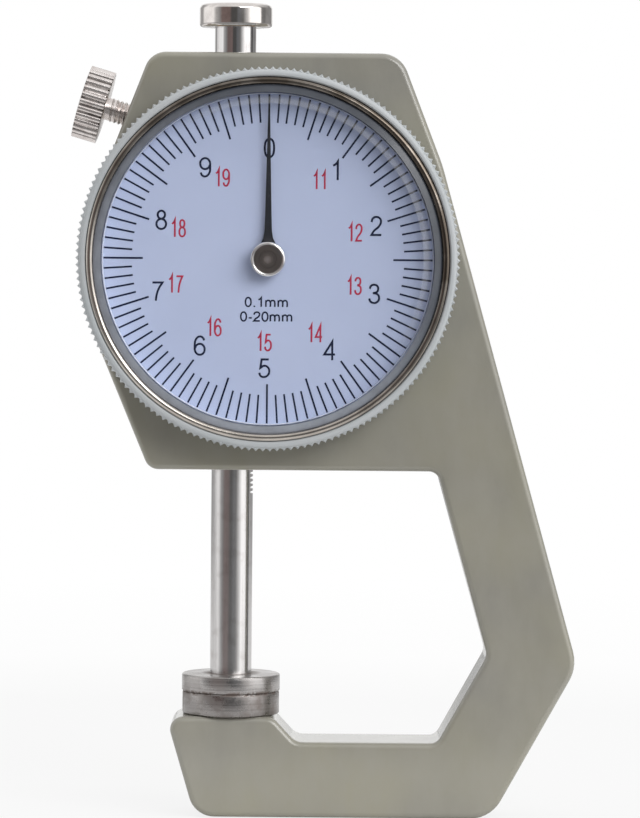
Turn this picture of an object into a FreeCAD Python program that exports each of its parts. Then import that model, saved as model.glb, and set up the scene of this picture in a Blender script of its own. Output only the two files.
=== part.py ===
import FreeCAD, Part
import math
import os

# Dial thickness gauge. A cast C-frame carries a flat anvil on its lower jaw and a housing
# above it. A round spindle with a rack slides through the housing, and its rack turns a
# pinion whose arbor carries the pointer: one turn for ten millimetres.
#
# Millimetres. +Z is up, +X is to the right seen from the dial side, and the dial faces -Y.
# The origin is on the flat underside of the frame, under the spindle's axis.

# ---- Frame casting -------------------------------------------------------------------
frame_thickness = 9.0        # front face to back face
dial_height = 58.3           # underside to the dial axis
housing_above = 21.4         # dial axis to the housing's flat top
housing_below = 22.0         # dial axis to the housing's flat bottom
edge_bevel = 0.6             # softening of the casting's front and back outline
base_left = 3.6              # spindle axis to the base's left corner, before rounding
base_right = 27.3            # spindle axis to the base's right corner, before rounding
jaw_lean = 16.5              # degrees that the jaw's free end leans outwards
seat_height = 10.5           # underside to the anvil's seat
seat_overhang = 0.6          # how far the anvil stands past the right end of its seat
seat_slope = 43.0            # degrees from upright of the slope beside the seat
lower_arm_height = 7.9
lower_lean = 29.1            # degrees from upright of the arm below the knee
knee_height = 16.0           # height of the outer knee, before rounding
arm_lean = 15.6              # degrees from upright of the arm above the knee
arm_width = 8.8              # across the arm, above and below the knee
shoulder_above = 9.9         # dial axis to where the arm's outer edge turns into the taper
taper_lean = 21.2            # degrees from upright of the housing's upper sides
top_left = 8.7               # spindle axis to the top's left corner, before rounding
cheek_below = 1.0            # dial axis to the housing's widest point on the left
chin_lean = 22.6             # degrees from upright of the housing's lower left side

frame_height = dial_height + housing_above
housing_bottom = dial_height - housing_below
shoulder_height = dial_height + shoulder_above
cheek_height = dial_height - cheek_below

top_left_round = 2.3
top_right_round = 2.9
shoulder_round = 15.0
knee_round = 4.0
heel_round = 3.7
toe_round = 2.7
jaw_round = 1.4
seat_round = 1.4
seat_fillet = 1.8
throat_fillet = 1.2
knee_fillet = 1.5
chin_round = 1.5
cheek_round = 19.0

# ---- Rack, pinion and dial axis ------------------------------------------------------
travel = 20.0                # spindle lift
rack_pitch = 0.5
pinion_teeth = 20
pressure_angle = 20.0
backlash = 0.05
spindle_r = 2.2
rack_below = 4.5             # rack below the tooth that meets the pinion at full lift
rack_above = 2.0             # rack above the tooth that meets the pinion at rest
pinion_width = 2.5

module = rack_pitch / math.pi
addendum = module
dedendum = 1.25 * module
pinion_pitch_r = rack_pitch * pinion_teeth / (2.0 * math.pi)
dial_x = spindle_r - addendum + pinion_pitch_r

# ---- Fits ----------------------------------------------------------------------------
slide_gap = 0.03             # radial, spindle in its bushes and pad in its bore
pivot_gap = 0.03             # radial, arbor pivots in their bushes
thread_gap = 0.05            # radial, lock screw in its tapped hole
turn_gap = 0.05              # radial, bezel on its spigot
press_gap = 0.01             # radial, pressed and screwed parts that don't move
end_gap = 0.1                # axial, arbor shoulders to the plates

# ---- Housing interior ----------------------------------------------------------------
bezel_r = 19.8               # bezel's outside, over its knurl
spigot_inset = 2.4           # bezel's outside to the round rim that it turns on
spigot_wall = 1.2            # that rim's thickness
spigot_height = 1.5
back_wall = 1.6
bush_r = 2.65
rod_clearance = 0.25         # round the spindle where nothing guides it
spigot_r = bezel_r - spigot_inset
cavity_r = spigot_r - spigot_wall
front_y = -frame_thickness / 2.0
back_y = frame_thickness / 2.0
floor_y = back_y - back_wall
bottom_bush_top = dial_height - cavity_r
top_bush_bottom = dial_height + cavity_r

# ---- Bezel, dial and crystal ---------------------------------------------------------
bezel_knurl_count = 170
knurl_depth = 0.3
bezel_gap = 0.25             # bezel's back to the frame's front
bezel_height = 5.05
bezel_bevel = 0.5
dial_gap = 0.25              # spigot's rim to the dial's back
dial_inset = 1.7             # bezel's outside to the dial's and the crystal's edge
dial_thickness = 0.4
dial_hole_r = 1.2
crystal_wall = 1.05          # the crystal's rim, which stands on the dial
crystal_height = 3.4         # dial face to the crystal's front
crystal_thickness = 1.1
crystal_bevel = 1.2          # height of the bevel round the crystal's edge
crystal_bevel_width = 0.9
trim_inset = 1.1             # bezel's outside to the trim ring's
trim_lip = 0.13              # how far the trim ring reaches over the crystal's bevel
trim_height = 1.7            # depth of its seat in the bezel
trim_crown = 0.15            # how far its crown stands out of the bezel
trim_fit = 0.05
groove_depth = 0.25          # V groove round the spigot, and the bezel's bead in it
groove_width = 0.6
groove_at = 0.7              # frame's front face to the groove's middle

dial_r = bezel_r - dial_inset
crystal_r = dial_r
trim_r = bezel_r - trim_inset
bezel_back_y = front_y - bezel_gap
bezel_front_y = bezel_back_y - bezel_height
spigot_front_y = front_y - spigot_height
dial_back_y = spigot_front_y - dial_gap
dial_face_y = dial_back_y - dial_thickness
crystal_front_y = dial_face_y - crystal_height
crystal_back_y = crystal_front_y + crystal_thickness
groove_y = front_y - groove_at

# ---- Anvil, foot and lift cap --------------------------------------------------------
anvil_r = 5.08
anvil_height = 2.4
anvil_stem_r = 1.5
anvil_stem_length = 5.0
foot_r = 5.14
foot_height = 1.8
foot_stem_r = 1.5
foot_floor = 0.5             # steel left under the spindle's end
disc_chamfer = 0.2
cap_r = 3.82
cap_height = 2.5
cap_lift = 2.7               # housing's top to the cap's underside, at rest
cap_round = 0.5
cap_stud_r = 1.25
cap_stud_length = 1.6
measuring_z = seat_height + anvil_height
foot_top = measuring_z + foot_height
cap_bottom = frame_height + cap_lift

# ---- Guide pin and return spring -----------------------------------------------------
pin_r = 0.49
pin_room = 2.1               # pin to the cavity's edge, at full lift
slot_gap = 0.05              # each side of the pin in its slot
slot_depth = 1.0
slot_spare = 0.7             # slot beyond the pin's travel, each end
spring_wire = 0.36
spring_outer_r = 1.15
spring_gap = 0.25            # spindle to the spring's side
hook_gap = 0.06
post_depth = 0.9             # how deep it sits in the cavity's wall
post_height = 1.6            # how far the post stands out of the cavity's wall
pin_height = dial_height + cavity_r - pin_room - travel
spring_inner_r = spring_outer_r - spring_wire
spring_y = -(spindle_r + spring_gap + spring_outer_r)
post_r = spring_inner_r - hook_gap

# ---- Arbor, bridge and pointer -------------------------------------------------------
arbor_r = 0.7
rear_pivot_r = 0.4
front_pivot_r = 0.45
rear_bush_r = 1.5
rear_bush_depth = 1.1
front_bush_r = 1.2
bridge_thickness = 1.0
bridge_depth = 1.5           # frame's front face back to the bridge's front
bridge_reach_x = 7.5         # dial axis to the pillars
bridge_reach_z = 8.5
bridge_nose_r = 1.9
pillar_r = 2.2
bridge_screw_r = 0.7
bridge_screw_length = 3.5
bridge_head_r = 1.3
bridge_head_height = 0.8
driver_slot = 0.3
bridge_front_y = front_y + bridge_depth - bridge_thickness
bridge_back_y = bridge_front_y + bridge_thickness

pointer_room = 0.25          # pointer's tip to the crystal's rim
pointer_thickness = 0.15
pointer_lift = 0.6           # dial face to the pointer's back
pointer_width = 0.66
pointer_root = 1.55          # width where the pointer meets the hub
pointer_flare = 3.4          # distance over which it widens
pointer_tip = 0.12
hub_r = 1.8
hub_height = 1.1
hub_face_r = 1.48
hub_recess = 0.15
hub_dimple_r = 0.28
hub_wall = 0.4               # hub in front of the arbor's end
pointer_length = crystal_r - crystal_wall - pointer_room
pointer_back_y = dial_face_y - pointer_lift
pointer_front_y = pointer_back_y - pointer_thickness
hub_front_y = pointer_front_y - hub_height

# ---- Spindle lock --------------------------------------------------------------------
lock_tilt = 16.5             # degrees that the screw points down towards the spindle
lock_above = 11.55           # dial axis to where the screw's axis crosses the spindle's
lock_gap = 0.16              # pad to spindle along the screw, unlocked
screw_r = 1.25
screw_free = 2.4             # screw seen between the head and the frame
screw_room = 0.4             # hole beyond the screw's end, for it to advance
screw_head_r = 3.85
screw_head_height = 2.7
screw_knurl_count = 48
screw_knurl_depth = 0.2
screw_bevel = 0.25
pad_r = 1.0
pad_length = 2.2
lock_boss_r = 2.3
lock_boss_gap = 0.3          # boss end to the spindle
lock_height = dial_height + lock_above


# ---- Helpers -------------------------------------------------------------------------
def vec(x, y, z):
    return FreeCAD.Vector(x, y, z)


def lean(rise, degrees):
    """Sideways run of a line that rises by this much at this lean from upright."""
    return rise * math.tan(math.radians(degrees))


def rounded_wire(corners, y):
    """A closed wire in the plane at y, from (x, z, radius) corners."""
    spans = []
    for i, (x, z, radius) in enumerate(corners):
        here = vec(x, y, z)
        before = vec(corners[i - 1][0], y, corners[i - 1][1])
        after = vec(corners[(i + 1) % len(corners)][0], y, corners[(i + 1) % len(corners)][1])
        back = (before - here).normalize()
        on = (after - here).normalize()
        half = back.getAngle(on) / 2.0
        reach = radius / math.tan(half)
        middle = here + (back + on).normalize() * (radius / math.sin(half) - radius)
        spans.append((here + back * reach, middle, here + on * reach, radius))
    edges = []
    for i, (start, middle, end, radius) in enumerate(spans):
        if radius > 0:
            edges.append(Part.Arc(start, middle, end).toShape())
        edges.append(Part.LineSegment(end, spans[(i + 1) % len(spans)][0]).toShape())
    return Part.Wire(edges)


def plate(wire, depth):
    return Part.Face(wire).extrude(vec(0, depth, 0))


def rod_y(radius, y_from, y_to, x=dial_x, z=dial_height):
    """A round bar along Y; on the dial axis unless told otherwise."""
    return Part.makeCylinder(radius, y_to - y_from, vec(x, y_from, z), vec(0, 1, 0))


def rod_z(radius, z_from, z_to, x=0.0, y=0.0):
    return Part.makeCylinder(radius, z_to - z_from, vec(x, y, z_from), vec(0, 0, 1))


def turned_y(profile):
    """Revolves (radius, y) points about the dial axis."""
    points = [vec(dial_x + r, y, dial_height) for r, y in profile]
    face = Part.Face(Part.makePolygon(points + points[:1]))
    return face.revolve(vec(dial_x, 0, dial_height), vec(0, 1, 0), 360)


def turned_z(profile, y=0.0):
    """Revolves (radius, z) points about an upright axis at x = 0."""
    points = [vec(r, y, z) for r, z in profile]
    face = Part.Face(Part.makePolygon(points + points[:1]))
    return face.revolve(vec(0, y, 0), vec(0, 0, 1), 360)


def ring_points(radius, z, count, turn):
    """Points round the Z axis, turned by a share of their own spacing."""
    angles = [2.0 * math.pi * (i + turn) / count for i in range(count)]
    return [vec(radius * math.cos(a), radius * math.sin(a), z) for a in angles]


def knurled_bar(outer_r, depth, count, height, bevel):
    """A bar along Z with V-shaped ribs that run out at the bevel round each end."""
    faces = []

    def add_face(*points):
        faces.append(Part.Face(Part.makePolygon(list(points) + [points[0]])))

    lower = [ring_points(outer_r - depth, bevel, count, 0), ring_points(outer_r, bevel, count, 0.5)]
    upper = [[point + vec(0, 0, height - 2 * bevel) for point in ring] for ring in lower]
    bottom_rim = ring_points(outer_r - bevel, 0, count, 0)
    top_rim = ring_points(outer_r - bevel, height, count, 0)
    for (roots, tips), rim in ((lower, bottom_rim), (upper, top_rim)):
        add_face(*rim)
        for i in range(count):
            j = (i + 1) % count
            add_face(roots[i], tips[i], rim[i])
            add_face(tips[i], roots[j], rim[j])
            add_face(rim[i], tips[i], rim[j])
    for i in range(count):
        j = (i + 1) % count
        add_face(lower[0][i], lower[1][i], upper[1][i], upper[0][i])
        add_face(lower[1][i], lower[0][j], upper[0][j], upper[1][i])
    solid = Part.Solid(Part.Shell(faces))
    return solid if solid.Volume > 0 else solid.reversed()


def along_lock(distance):
    """A point on the lock screw's axis; negative distances lie towards its head."""
    tilt = math.radians(lock_tilt)
    return vec(distance * math.cos(tilt), 0, lock_height - distance * math.sin(tilt))


def lock_bar(radius, start, end):
    return Part.makeCylinder(radius, end - start, along_lock(start), lock_axis)


lock_axis = along_lock(1.0) - along_lock(0.0)


# ---- Frame ---------------------------------------------------------------------------
def frame_corners():
    """The casting's outline, clockwise from the base's left corner."""
    knee_x = base_right + lean(knee_height, lower_lean)
    shoulder_x = knee_x - lean(shoulder_height - knee_height, arm_lean)
    top_right_x = shoulder_x - lean(frame_height - shoulder_height, taper_lean)
    seat_x = anvil_r - seat_overhang
    slope_x = seat_x + lean(seat_height - lower_arm_height, seat_slope)

    # The inner edges lie one arm's width inside the outer ones.
    lower_shift = arm_width / math.cos(math.radians(lower_lean))
    upper_shift = arm_width / math.cos(math.radians(arm_lean))
    throat_x = base_right + lean(lower_arm_height, lower_lean) - lower_shift
    lean_sum = lean(1.0, lower_lean) + lean(1.0, arm_lean)
    inner_knee_z = knee_height + (lower_shift - upper_shift) / lean_sum
    inner_knee_x = throat_x + lean(inner_knee_z - lower_arm_height, lower_lean)
    roof_x = inner_knee_x - lean(housing_bottom - inner_knee_z, arm_lean)

    cheek_x = -top_left - lean(frame_height - cheek_height, taper_lean)
    chin_x = cheek_x + lean(cheek_height - housing_bottom, chin_lean)
    return [
        (-base_left, 0.0, toe_round),
        (-base_left - lean(seat_height, jaw_lean), seat_height, jaw_round),
        (seat_x, seat_height, seat_round),
        (slope_x, lower_arm_height, seat_fillet),
        (throat_x, lower_arm_height, throat_fillet),
        (inner_knee_x, inner_knee_z, knee_fillet),
        (roof_x, housing_bottom, throat_fillet),
        (chin_x, housing_bottom, chin_round),
        (cheek_x, cheek_height, cheek_round),
        (-top_left, frame_height, top_left_round),
        (top_right_x, frame_height, top_right_round),
        (shoulder_x, shoulder_height, shoulder_round),
        (knee_x, knee_height, knee_round),
        (base_right, 0.0, heel_round),
    ]


def wall_z(reach=0.0):
    """Height of the cavity's bottom wall this far to the left of the spindle's axis."""
    return dial_height - math.sqrt(cavity_r ** 2 - (dial_x + reach) ** 2)


def lock_wall():
    """Distance along the screw's axis at which it enters the casting's sloping side."""
    slope = lean(1.0, taper_lean)
    tilt = math.radians(lock_tilt)
    side_x = -top_left - slope * (frame_height - lock_height)
    return side_x / (math.cos(tilt) + slope * math.sin(tilt))


def pillar_places():
    x = dial_x + bridge_reach_x
    return [(x, dial_height - bridge_reach_z), (x, dial_height + bridge_reach_z)]


def frame():
    body = plate(rounded_wire(frame_corners(), front_y), frame_thickness)
    rim = [
        edge
        for edge in body.Edges
        if abs(edge.BoundBox.YMin - edge.BoundBox.YMax) < 1e-6
    ]
    body = body.makeChamfer(edge_bevel, rim)

    # Round movement cavity, open to the front inside the bezel's spigot.
    body = body.fuse(rod_y(spigot_r, spigot_front_y, front_y + edge_bevel))
    body = body.cut(rod_y(cavity_r, spigot_front_y - 1.0, floor_y))
    body = body.cut(turned_y([
        (spigot_r, groove_y - groove_width / 2),
        (spigot_r - groove_depth, groove_y),
        (spigot_r, groove_y + groove_width / 2),
    ]))

    # Cast bosses inside it: the bridge's two pillars and the lock screw's guide.
    for x, z in pillar_places():
        body = body.fuse(rod_y(pillar_r, bridge_back_y, floor_y + back_wall / 2, x, z))
    boss_end = -(spindle_r + lock_boss_gap) / math.cos(math.radians(lock_tilt))
    boss = lock_bar(lock_boss_r, lock_wall() / 1.6, boss_end)
    body = body.fuse(boss)

    # Spindle bores, with a seat for a bush at each end.
    body = body.cut(rod_z(spindle_r + rod_clearance, housing_bottom - 1, frame_height + 1))
    body = body.cut(rod_z(bush_r + press_gap, housing_bottom - 1, bottom_bush_top))
    body = body.cut(rod_z(bush_r + press_gap, top_bush_bottom, frame_height + 1))

    # Guide slot in the back wall, anvil hole, post hole and rear bush seat.
    slot_half = pin_r + slot_gap
    slot = Part.makeBox(
        2 * slot_half,
        slot_depth + 1.0,
        travel + 2 * slot_spare,
        vec(-slot_half, floor_y - 1.0, pin_height - slot_spare),
    )
    body = body.cut(slot)
    hole_z = seat_height - anvil_stem_length
    body = body.cut(rod_z(anvil_stem_r + press_gap, hole_z, seat_height + 1))
    body = body.cut(rod_z(post_r + press_gap, wall_z() - post_depth, dial_height, 0, spring_y))
    body = body.cut(rod_y(rear_bush_r + press_gap, floor_y - 1.0, floor_y + rear_bush_depth))

    # Tapped hole for the lock screw, and the smooth bore for its pad.
    pad_back = pad_start()
    body = body.cut(lock_bar(screw_r + thread_gap, lock_wall() - screw_r, pad_back + screw_room))
    body = body.cut(lock_bar(pad_r + slide_gap, pad_back, 0.0))
    for x, z in pillar_places():
        thread_r = bridge_screw_r + press_gap
        thread_end = bridge_front_y + bridge_screw_length
        body = body.cut(rod_y(thread_r, bridge_back_y - 1.0, thread_end, x, z))
    return body


# ---- Pieces fixed to the frame -------------------------------------------------------
def anvil():
    top = measuring_z
    disc = turned_z([
        (0, seat_height),
        (anvil_r - disc_chamfer, seat_height),
        (anvil_r, seat_height + disc_chamfer),
        (anvil_r, top - disc_chamfer),
        (anvil_r - disc_chamfer, top),
        (0, top),
    ])
    return disc.fuse(rod_z(anvil_stem_r, seat_height - anvil_stem_length, seat_height))


def bush(z_from, z_to):
    return rod_z(bush_r, z_from, z_to).cut(rod_z(spindle_r + slide_gap, z_from - 1, z_to + 1))


def lower_bush():
    return bush(housing_bottom, bottom_bush_top)


def upper_bush():
    return bush(top_bush_bottom, frame_height)


def arbor_rear_bush():
    outer = rod_y(rear_bush_r, floor_y, floor_y + rear_bush_depth)
    return outer.cut(rod_y(rear_pivot_r + pivot_gap, floor_y - 1, back_y))


def bridge_plate():
    """A three-cornered plate: its nose holds the arbor, its arms sit on the pillars."""
    nose_x = dial_x - bridge_nose_r
    arm_x = dial_x + bridge_reach_x + pillar_r
    reach = bridge_reach_z + pillar_r
    wire = rounded_wire(
        [
            (nose_x, dial_height - bridge_nose_r, bridge_nose_r / 2),
            (nose_x, dial_height + bridge_nose_r, bridge_nose_r / 2),
            (arm_x - 2 * pillar_r, dial_height + reach, pillar_r / 2),
            (arm_x, dial_height + reach, pillar_r / 2),
            (arm_x, dial_height - reach, pillar_r / 2),
            (arm_x - 2 * pillar_r, dial_height - reach, pillar_r / 2),
        ],
        bridge_front_y,
    )
    body = plate(wire, bridge_thickness)
    body = body.cut(rod_y(front_bush_r + press_gap, bridge_front_y - 1, bridge_back_y + 1))
    for x, z in pillar_places():
        hole_r = bridge_screw_r + press_gap
        body = body.cut(rod_y(hole_r, bridge_front_y - 1, bridge_back_y + 1, x, z))
    return body


def arbor_front_bush():
    outer = rod_y(front_bush_r, bridge_front_y, bridge_back_y)
    return outer.cut(rod_y(front_pivot_r + pivot_gap, bridge_front_y - 1, bridge_back_y + 1))


def bridge_screws():
    screws = []
    for x, z in pillar_places():
        head_y = bridge_front_y - bridge_head_height
        thread_end = bridge_front_y + bridge_screw_length
        screw = rod_y(bridge_head_r, head_y, bridge_front_y, x, z)
        screw = screw.fuse(rod_y(bridge_screw_r, bridge_front_y, thread_end, x, z))
        slot = Part.makeBox(
            2 * bridge_head_r + 1,
            bridge_head_height / 2,
            driver_slot,
            vec(x - bridge_head_r - 0.5, head_y, z - driver_slot / 2),
        )
        screws.append(screw.cut(slot))
    return Part.makeCompound(screws)


def spring_post():
    """A pin in the bottom of the cavity; the spring's lowest turns grip it."""
    return rod_z(post_r, wall_z() - post_depth, wall_z() + post_height, 0, spring_y)


def return_spring():
    """Close-wound extension spring: its body as a sleeve, with an eye on the guide pin."""
    low = wall_z(spring_outer_r) + hook_gap
    eye_inner_r = pin_r + hook_gap
    eye_r = eye_inner_r + spring_wire
    high = pin_height - eye_inner_r
    coil = rod_z(spring_outer_r, low, high, 0, spring_y)
    coil = coil.cut(rod_z(spring_inner_r, low, high - spring_wire, 0, spring_y))
    eye = rod_y(eye_r, spring_y - spring_wire / 2, spring_y + spring_wire / 2, 0, pin_height)
    whole = coil.fuse(eye)
    return whole.cut(rod_y(eye_inner_r, -frame_thickness, 0, 0, pin_height))


# ---- Spindle group -------------------------------------------------------------------
def rack_gap(z):
    """One tooth space, cut straight across the spindle's right side."""
    slope = math.tan(math.radians(pressure_angle))
    root_x = spindle_r - addendum - dedendum
    mouth_x = spindle_r + addendum
    root_half = rack_pitch / 4 - dedendum * slope
    mouth_half = rack_pitch / 4 + 2 * addendum * slope
    points = [
        vec(root_x, -spindle_r, z - root_half),
        vec(mouth_x, -spindle_r, z - mouth_half),
        vec(mouth_x, -spindle_r, z + mouth_half),
        vec(root_x, -spindle_r, z + root_half),
    ]
    wire = Part.makePolygon(points + points[:1])
    return Part.Face(wire).extrude(vec(0, 2 * spindle_r, 0))


def spindle():
    rod = rod_z(spindle_r, foot_top, cap_bottom)
    rod = rod.fuse(rod_z(foot_stem_r, measuring_z + foot_floor, foot_top))
    rod = rod.fuse(rod_z(cap_stud_r, cap_bottom, cap_bottom + cap_stud_length))
    lowest = -round((travel + rack_below) / rack_pitch)
    highest = round(rack_above / rack_pitch)
    gaps = [rack_gap(dial_height + i * rack_pitch) for i in range(lowest, highest + 1)]
    rod = rod.cut(gaps)
    return rod.cut(rod_y(pin_r + press_gap, -2 * spindle_r, 2 * spindle_r, 0, pin_height))


def foot():
    disc = turned_z([
        (0, measuring_z),
        (foot_r - disc_chamfer, measuring_z),
        (foot_r, measuring_z + disc_chamfer),
        (foot_r, foot_top - disc_chamfer),
        (foot_r - disc_chamfer, foot_top),
        (0, foot_top),
    ])
    return disc.cut(rod_z(foot_stem_r + press_gap, measuring_z + foot_floor, foot_top + 1))


def lift_cap():
    """A turned button with rounded edges."""
    top = cap_bottom + cap_height
    half = cap_round * (1 - math.sqrt(0.5))
    return turned_z([
        (cap_stud_r + press_gap, cap_bottom),
        (cap_r - cap_round / 2, cap_bottom),
        (cap_r, cap_bottom + cap_round / 2),
        (cap_r, top - cap_round),
        (cap_r - half, top - half),
        (cap_r - cap_round, top),
        (0, top),
        (0, cap_bottom + cap_stud_length),
        (cap_stud_r + press_gap, cap_bottom + cap_stud_length),
    ])


def guide_pin():
    """Through the spindle: its back end runs in the slot, its front end holds the spring."""
    return rod_y(pin_r, spring_y - spring_wire, floor_y + slot_depth - end_gap, 0, pin_height)


# ---- Pointer group -------------------------------------------------------------------
def involute_point(base_r, radius, offset):
    """A point on an involute of this base circle, turned by an offset angle."""
    roll = math.sqrt(max(radius ** 2 / base_r ** 2 - 1.0, 0.0))
    angle = offset + roll - math.atan(roll)
    return radius, angle


def pinion_wire(y):
    """Involute pinion in the plane at y; one tooth points at the rack."""
    base_r = pinion_pitch_r * math.cos(math.radians(pressure_angle))
    root_r = pinion_pitch_r - dedendum
    tip_r = pinion_pitch_r + addendum * 0.9
    steps = 3
    start_r = max(base_r, root_r)
    involute_at_pitch = involute_point(base_r, pinion_pitch_r, 0.0)[1]
    tooth_half = (rack_pitch / 2 - backlash) / (2 * pinion_pitch_r)
    points = []
    for tooth in range(pinion_teeth):
        middle = math.pi + 2 * math.pi * tooth / pinion_teeth
        flank = []
        for i in range(steps):
            radius = start_r + (tip_r - start_r) * i / (steps - 1)
            flank.append(involute_point(base_r, radius, -tooth_half - involute_at_pitch))
        root_angle = flank[0][1]
        points.append((root_r, middle + root_angle))
        points += [(r, middle + a) for r, a in flank]
        points += [(r, middle - a) for r, a in reversed(flank)]
        points.append((root_r, middle - root_angle))
    corners = [vec(dial_x + r * math.cos(a), y, dial_height + r * math.sin(a)) for r, a in points]
    return Part.makePolygon(corners + corners[:1])


def arbor():
    pinion = plate(pinion_wire(-pinion_width / 2), pinion_width)
    shaft_back = floor_y - end_gap
    shaft_front = bridge_back_y + end_gap
    body = pinion.fuse(rod_y(arbor_r, shaft_front, shaft_back))
    body = body.fuse(rod_y(rear_pivot_r, shaft_back, floor_y + rear_bush_depth - end_gap))
    return body.fuse(rod_y(front_pivot_r, hub_front_y + hub_wall, shaft_front))


def pointer():
    """A flat hand, flared where it meets the hub."""
    root_z = dial_height + hub_r - 0.2
    flare_z = root_z + pointer_flare
    tip_z = dial_height + pointer_length
    points = [
        vec(dial_x - pointer_root / 2, pointer_front_y, root_z),
        vec(dial_x - pointer_width / 2, pointer_front_y, flare_z),
        vec(dial_x - pointer_tip / 2, pointer_front_y, tip_z),
        vec(dial_x + pointer_tip / 2, pointer_front_y, tip_z),
        vec(dial_x + pointer_width / 2, pointer_front_y, flare_z),
        vec(dial_x + pointer_root / 2, pointer_front_y, root_z),
        vec(dial_x + pointer_root / 2, pointer_front_y, dial_height),
        vec(dial_x - pointer_root / 2, pointer_front_y, dial_height),
    ]
    hand = plate(Part.makePolygon(points + points[:1]), pointer_thickness)
    hand = hand.fuse(rod_y(hub_r - 0.2, pointer_front_y, pointer_back_y))
    return hand.cut(rod_y(front_pivot_r + press_gap, pointer_front_y - 1, pointer_back_y + 1))


def pointer_hub():
    """A turned boss: raised rim, recessed face and a centre dimple."""
    face_y = hub_front_y + hub_recess
    hub = rod_y(hub_r, hub_front_y, pointer_front_y)
    hub = hub.cut(rod_y(hub_face_r, hub_front_y - 1, face_y))
    hub = hub.cut(rod_y(hub_dimple_r, face_y, face_y + hub_recess / 2))
    return hub.cut(rod_y(front_pivot_r + press_gap, hub_front_y + hub_wall, pointer_front_y + 1))


# ---- Bezel group ---------------------------------------------------------------------
def trim_back_y():
    return bezel_front_y + trim_height


def bezel():
    """Knurled ring: its bead snaps into the spigot's groove, its ledge holds the dial."""
    bore_r = spigot_r + turn_gap
    seat_r = crystal_r + trim_fit
    trim_seat_r = trim_r + trim_fit
    ring = knurled_bar(bezel_r, knurl_depth, bezel_knurl_count, bezel_height, bezel_bevel)
    ring.rotate(vec(0, 0, 0), vec(1, 0, 0), 90)
    ring.translate(vec(dial_x, bezel_back_y, dial_height))
    opening = turned_y([
        (0, bezel_back_y + 1),
        (bore_r, bezel_back_y + 1),
        (bore_r, groove_y + groove_width / 2),
        (bore_r - groove_depth, groove_y),
        (bore_r, groove_y - groove_width / 2),
        (bore_r, dial_back_y),
        (seat_r, dial_back_y),
        (seat_r, trim_back_y()),
        (trim_seat_r, trim_back_y()),
        (trim_seat_r, bezel_front_y - 1),
        (0, bezel_front_y - 1),
    ])
    return ring.cut(opening)


def dial_plate():
    plate_body = rod_y(dial_r, dial_face_y, dial_back_y)
    return plate_body.cut(rod_y(dial_hole_r, dial_face_y - 1, dial_back_y + 1))


def crystal():
    """A clear cup: its rim stands on the dial and its front edge is bevelled."""
    inner_r = crystal_r - crystal_wall
    return turned_y([
        (0, crystal_front_y),
        (crystal_r - crystal_bevel_width, crystal_front_y),
        (crystal_r, crystal_front_y + crystal_bevel),
        (crystal_r, dial_face_y),
        (inner_r, dial_face_y),
        (inner_r, crystal_back_y),
        (0, crystal_back_y),
    ])


def trim_ring():
    """A crowned ring that tapers inside, so that it holds the crystal down by its edge."""
    lip_r = crystal_r - trim_lip
    front = bezel_front_y - trim_crown
    edge_y = crystal_front_y + crystal_bevel
    taper = (crystal_r + trim_fit - lip_r) / (edge_y - bezel_front_y)
    back_r = lip_r + taper * (trim_back_y() - bezel_front_y)
    return turned_y([
        (back_r, trim_back_y()),
        (lip_r, bezel_front_y),
        ((lip_r + trim_r) / 2, front),
        (trim_r, bezel_front_y),
        (trim_r, trim_back_y()),
    ])


# ---- Spindle lock --------------------------------------------------------------------
def pad_start():
    return -(spindle_r / math.cos(math.radians(lock_tilt)) + lock_gap + pad_length)


def lock_pad():
    """A brass plug whose inner end is hollowed to the spindle's own radius."""
    plug = lock_bar(pad_r, pad_start(), -spindle_r / 2)
    shift = -lock_gap * math.cos(math.radians(lock_tilt))
    hollow = rod_z(spindle_r, lock_height - 4 * spindle_r, lock_height + 4 * spindle_r, shift)
    return plug.cut(hollow)


def lock_screw():
    """Straight-knurled head on a plain shank as thick as its thread."""
    head_face = lock_wall() - screw_free
    shank = lock_bar(screw_r, head_face, pad_start())
    head = knurled_bar(
        screw_head_r, screw_knurl_depth, screw_knurl_count, screw_head_height, screw_bevel
    )
    turn = FreeCAD.Rotation(vec(0, 0, 1), lock_axis)
    head.Placement = FreeCAD.Placement(along_lock(head_face - screw_head_height), turn)
    return head.fuse(shank)


# ---- Export --------------------------------------------------------------------------
PIECES = {
    "frame": frame,
    "anvil": anvil,
    "upper_bush": upper_bush,
    "lower_bush": lower_bush,
    "arbor_rear_bush": arbor_rear_bush,
    "arbor_front_bush": arbor_front_bush,
    "bridge_plate": bridge_plate,
    "bridge_screws": bridge_screws,
    "spring_post": spring_post,
    "return_spring": return_spring,
    "spindle": spindle,
    "foot": foot,
    "lift_cap": lift_cap,
    "guide_pin": guide_pin,
    "arbor": arbor,
    "pointer": pointer,
    "pointer_hub": pointer_hub,
    "bezel": bezel,
    "dial_plate": dial_plate,
    "crystal": crystal,
    "trim_ring": trim_ring,
    "lock_pad": lock_pad,
    "lock_screw": lock_screw,
}

os.makedirs("parts", exist_ok=True)
for name, make in PIECES.items():
    make().exportStep("parts/" + name + ".step")
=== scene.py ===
import math

import bmesh
import bpy
from mathutils import Matrix, Vector


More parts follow.
